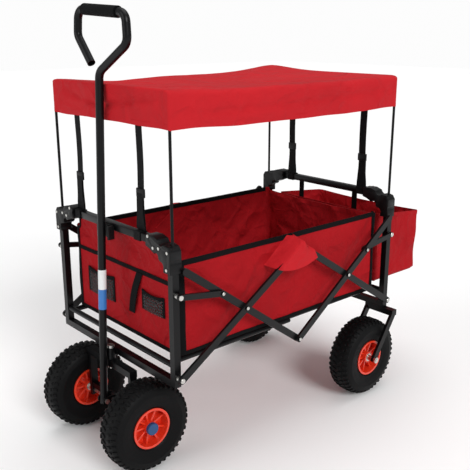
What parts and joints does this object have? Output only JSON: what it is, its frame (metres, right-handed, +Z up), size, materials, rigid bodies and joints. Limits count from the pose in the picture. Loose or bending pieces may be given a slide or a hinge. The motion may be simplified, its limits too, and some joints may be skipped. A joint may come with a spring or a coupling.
{
  "type": "folding camp wagon",
  "caption": "Folding camp wagon with fabric basket, scissor-side steel frame, steered front axle with pull handle, fixed rear wheels, sun canopy and rear bag.",
  "frame": {"origin": "on the ground under the middle of the bounding box", "axes": "+X forward toward the pull handle, +Y to the wagon's left, +Z up"},
  "size_m": [1.2746, 0.683, 1.2529],
  "materials": {
    "frame_paint": "satin black powder coat",
    "bar_paint": "satin black powder coat",
    "bow_paint": "satin black paint on rod",
    "bracket_plastic": "moulded black nylon",
    "fastener_steel": "zinc-plated steel",
    "red_cloth": "woven red polyester",
    "canopy_cloth": "woven red polyester, sun-lit tone",
    "black_net": "black mesh and binding tape",
    "mat_cloth": "padded black mat cloth",
    "webbing": "black polypropylene webbing",
    "tyre_rubber": "black tread rubber",
    "rim_plastic": "glossy orange-red plastic",
    "cap_plastic": "blue plastic cap",
    "grip_rubber": "black foam rubber"
  },
  "bodies": {
    "front_end": {"front_frame": "frame_paint", "front_top_bar": "frame_paint", "front_left_bracket": "bracket_plastic", "front_right_bracket": "bracket_plastic", "front_fasteners": "fastener_steel", "handle_holder": "bracket_plastic", "front_canopy_bow": "bow_paint", "basket": "red_cloth", "floor_mat": "mat_cloth", "net_pockets": "black_net", "canopy": "canopy_cloth", "front_left_strap": "webbing", "front_right_strap": "webbing"},
    "rear_end": {"rear_frame": "frame_paint", "rear_top_bar": "frame_paint", "rear_left_bracket": "bracket_plastic", "rear_right_bracket": "bracket_plastic", "rear_fasteners": "fastener_steel", "rear_canopy_bow": "bow_paint", "rear_left_fork": "frame_paint", "rear_right_fork": "frame_paint", "rear_left_axle": "fastener_steel", "rear_right_axle": "fastener_steel", "rear_left_strap": "webbing", "rear_right_strap": "webbing", "rear_bag": "red_cloth"},
    "front_low_bars": {"left_front_low_bar": "bar_paint", "right_front_low_bar": "bar_paint"},
    "front_rise_bars": {"left_front_rise_bar": "bar_paint", "right_front_rise_bar": "bar_paint"},
    "rear_low_bars": {"left_rear_low_bar": "bar_paint", "right_rear_low_bar": "bar_paint"},
    "rear_rise_bars": {"left_rear_rise_bar": "bar_paint", "right_rear_rise_bar": "bar_paint"},
    "front_strut_pair": {"front_struts": "bar_paint"},
    "rear_strut_pair": {"rear_struts": "bar_paint"},
    "front_floor": {"front_floor_frame": "frame_paint"},
    "rear_floor": {"rear_floor_frame": "frame_paint"},
    "steering": {"steering_yoke": "frame_paint", "king_pin": "fastener_steel", "front_axle": "fastener_steel"},
    "handle": {"handle_tube": "frame_paint", "handle_grip": "grip_rubber", "handle_pivot_bolt": "fastener_steel"},
    "front_left_wheel": {"front_left_tyre": "tyre_rubber", "front_left_rim": "rim_plastic", "front_left_bearings": "fastener_steel", "front_left_hub_cap": "cap_plastic"},
    "front_right_wheel": {"front_right_tyre": "tyre_rubber", "front_right_rim": "rim_plastic", "front_right_bearings": "fastener_steel", "front_right_hub_cap": "cap_plastic"},
    "rear_left_wheel": {"rear_left_tyre": "tyre_rubber", "rear_left_rim": "rim_plastic", "rear_left_bearings": "fastener_steel"},
    "rear_right_wheel": {"rear_right_tyre": "tyre_rubber", "rear_right_rim": "rim_plastic", "rear_right_bearings": "fastener_steel"}
  },
  "joints": [
    {"name": "fold", "type": "slide", "parent": "front_end", "child": "rear_end", "axis": [1, 0, 0], "range_m": [0, 0.6], "deforming": ["basket", "floor_mat", "canopy"]},
    {"name": "front_low_bar_swing", "type": "hinge", "parent": "front_end", "child": "front_low_bars", "pos_m": [0.48378, 0, 0.31], "axis": [0, 1, 0], "range_deg": [0, 42.06]},
    {"name": "front_rise_bar_swing", "type": "hinge", "parent": "front_low_bars", "child": "front_rise_bars", "pos_m": [0.25901, 0, 0.45418], "axis": [0, 1, 0], "range_deg": [-81.36, 0]},
    {"name": "front_strut_swing", "type": "hinge", "parent": "front_end", "child": "front_strut_pair", "pos_m": [0.48378, 0, 0.5395], "axis": [0, 1, 0], "range_deg": [0, 81.02]},
    {"name": "front_floor_swing", "type": "hinge", "parent": "front_end", "child": "front_floor", "pos_m": [0.48378, 0, 0.34], "axis": [0, 1, 0], "range_deg": [0, 71.78]},
    {"name": "rear_low_bar_swing", "type": "hinge", "parent": "rear_end", "child": "rear_low_bars", "pos_m": [-0.38922, 0, 0.31], "axis": [0, -1, 0], "range_deg": [0, 42.06]},
    {"name": "rear_rise_bar_swing", "type": "hinge", "parent": "rear_low_bars", "child": "rear_rise_bars", "pos_m": [-0.16446, 0, 0.45418], "axis": [0, -1, 0], "range_deg": [-81.36, 0]},
    {"name": "rear_strut_swing", "type": "hinge", "parent": "rear_end", "child": "rear_strut_pair", "pos_m": [-0.38922, 0, 0.5395], "axis": [0, -1, 0], "range_deg": [0, 81.02]},
    {"name": "rear_floor_swing", "type": "hinge", "parent": "rear_end", "child": "rear_floor", "pos_m": [-0.38922, 0, 0.34], "axis": [0, -1, 0], "range_deg": [0, 71.78]},
    {"name": "steer", "type": "hinge", "parent": "front_end", "child": "steering", "pos_m": [0.50728, 0, 0.13], "axis": [0, 0, 1], "range_deg": [-35, 35]},
    {"name": "handle_tilt", "type": "hinge", "parent": "steering", "child": "handle", "pos_m": [0.53878, 0, 0.15], "axis": [0, 1, 0], "range_deg": [0, 85]},
    {"name": "front_left_spin", "type": "hinge", "parent": "steering", "child": "front_left_wheel", "pos_m": [0.50728, 0.1625, 0.13], "axis": [0, 1, 0], "continuous": true},
    {"name": "front_right_spin", "type": "hinge", "parent": "steering", "child": "front_right_wheel", "pos_m": [0.50728, -0.1625, 0.13], "axis": [0, 1, 0], "continuous": true},
    {"name": "rear_left_spin", "type": "hinge", "parent": "rear_end", "child": "rear_left_wheel", "pos_m": [-0.29673, 0.275, 0.13], "axis": [0, 1, 0], "continuous": true},
    {"name": "rear_right_spin", "type": "hinge", "parent": "rear_end", "child": "rear_right_wheel", "pos_m": [-0.29673, -0.275, 0.13], "axis": [0, 1, 0], "continuous": true}
  ],
  "couplings": [
    {"joint": "front_low_bar_swing", "follows": "fold", "rad_per_m": 1.2235},
    {"joint": "front_rise_bar_swing", "follows": "fold", "rad_per_m": -2.3666},
    {"joint": "front_strut_swing", "follows": "fold", "rad_per_m": 2.3568},
    {"joint": "front_floor_swing", "follows": "fold", "rad_per_m": 2.0879},
    {"joint": "rear_low_bar_swing", "follows": "fold", "rad_per_m": 1.2235},
    {"joint": "rear_rise_bar_swing", "follows": "fold", "rad_per_m": -2.3666},
    {"joint": "rear_strut_swing", "follows": "fold", "rad_per_m": 2.3568},
    {"joint": "rear_floor_swing", "follows": "fold", "rad_per_m": 2.0879}
  ]
}
